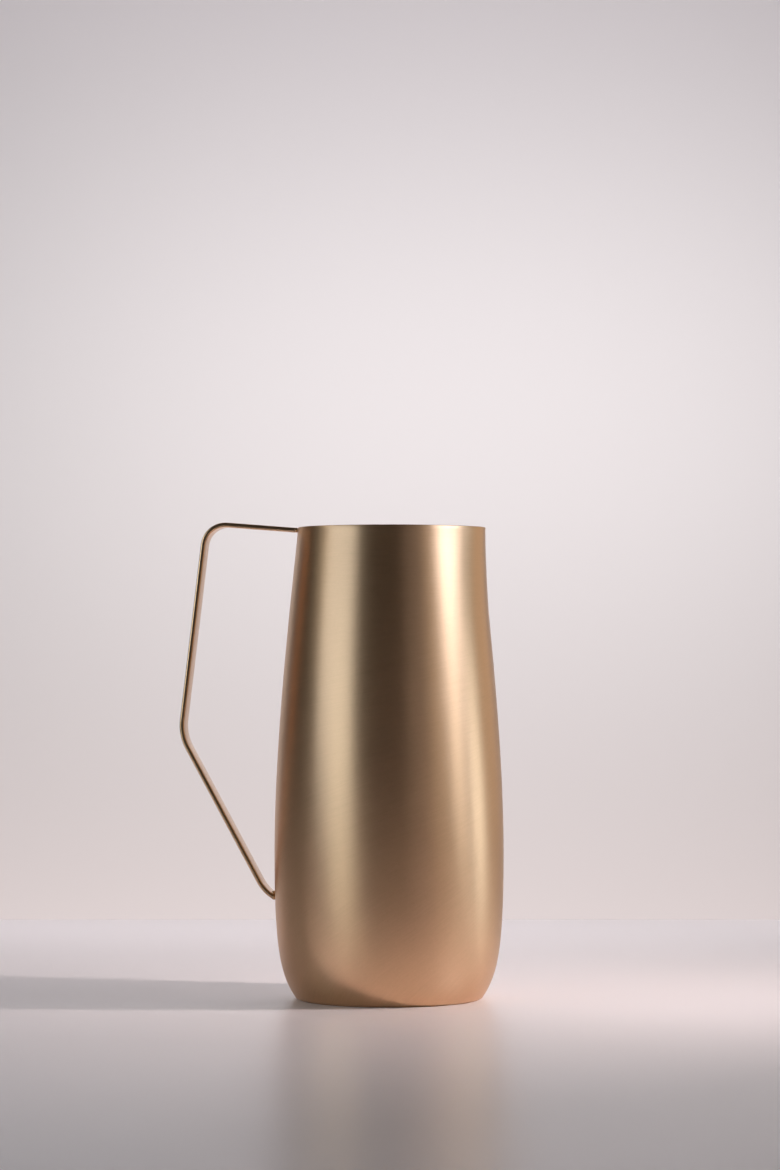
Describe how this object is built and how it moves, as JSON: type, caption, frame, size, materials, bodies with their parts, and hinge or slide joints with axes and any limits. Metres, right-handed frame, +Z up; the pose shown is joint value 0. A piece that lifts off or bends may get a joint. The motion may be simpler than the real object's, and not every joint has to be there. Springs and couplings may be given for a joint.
{
  "type": "open jug",
  "caption": "Tall open sheet-metal jug with a swelling body, a small pouring lip and a handle bent from flat strap.",
  "frame": {"origin": "centre of the flat underside of the foot, on the jug's axis", "axes": "+Z up along the jug's axis, +X towards the pouring lip, -X towards the handle"},
  "size_m": [0.1556, 0.1096, 0.2276],
  "materials": {
    "body": "satin, brushed round the body",
    "base": "satin, turned",
    "strap": "satin, brushed along the strap",
    "weld": "smooth bead, lightly polished"
  },
  "bodies": {
    "root": {"body_wall": "body", "base_plate": "base", "base_weld": "weld", "handle_strap": "strap", "upper_handle_weld": "weld", "lower_handle_weld": "weld"}
  },
  "joints": []
}
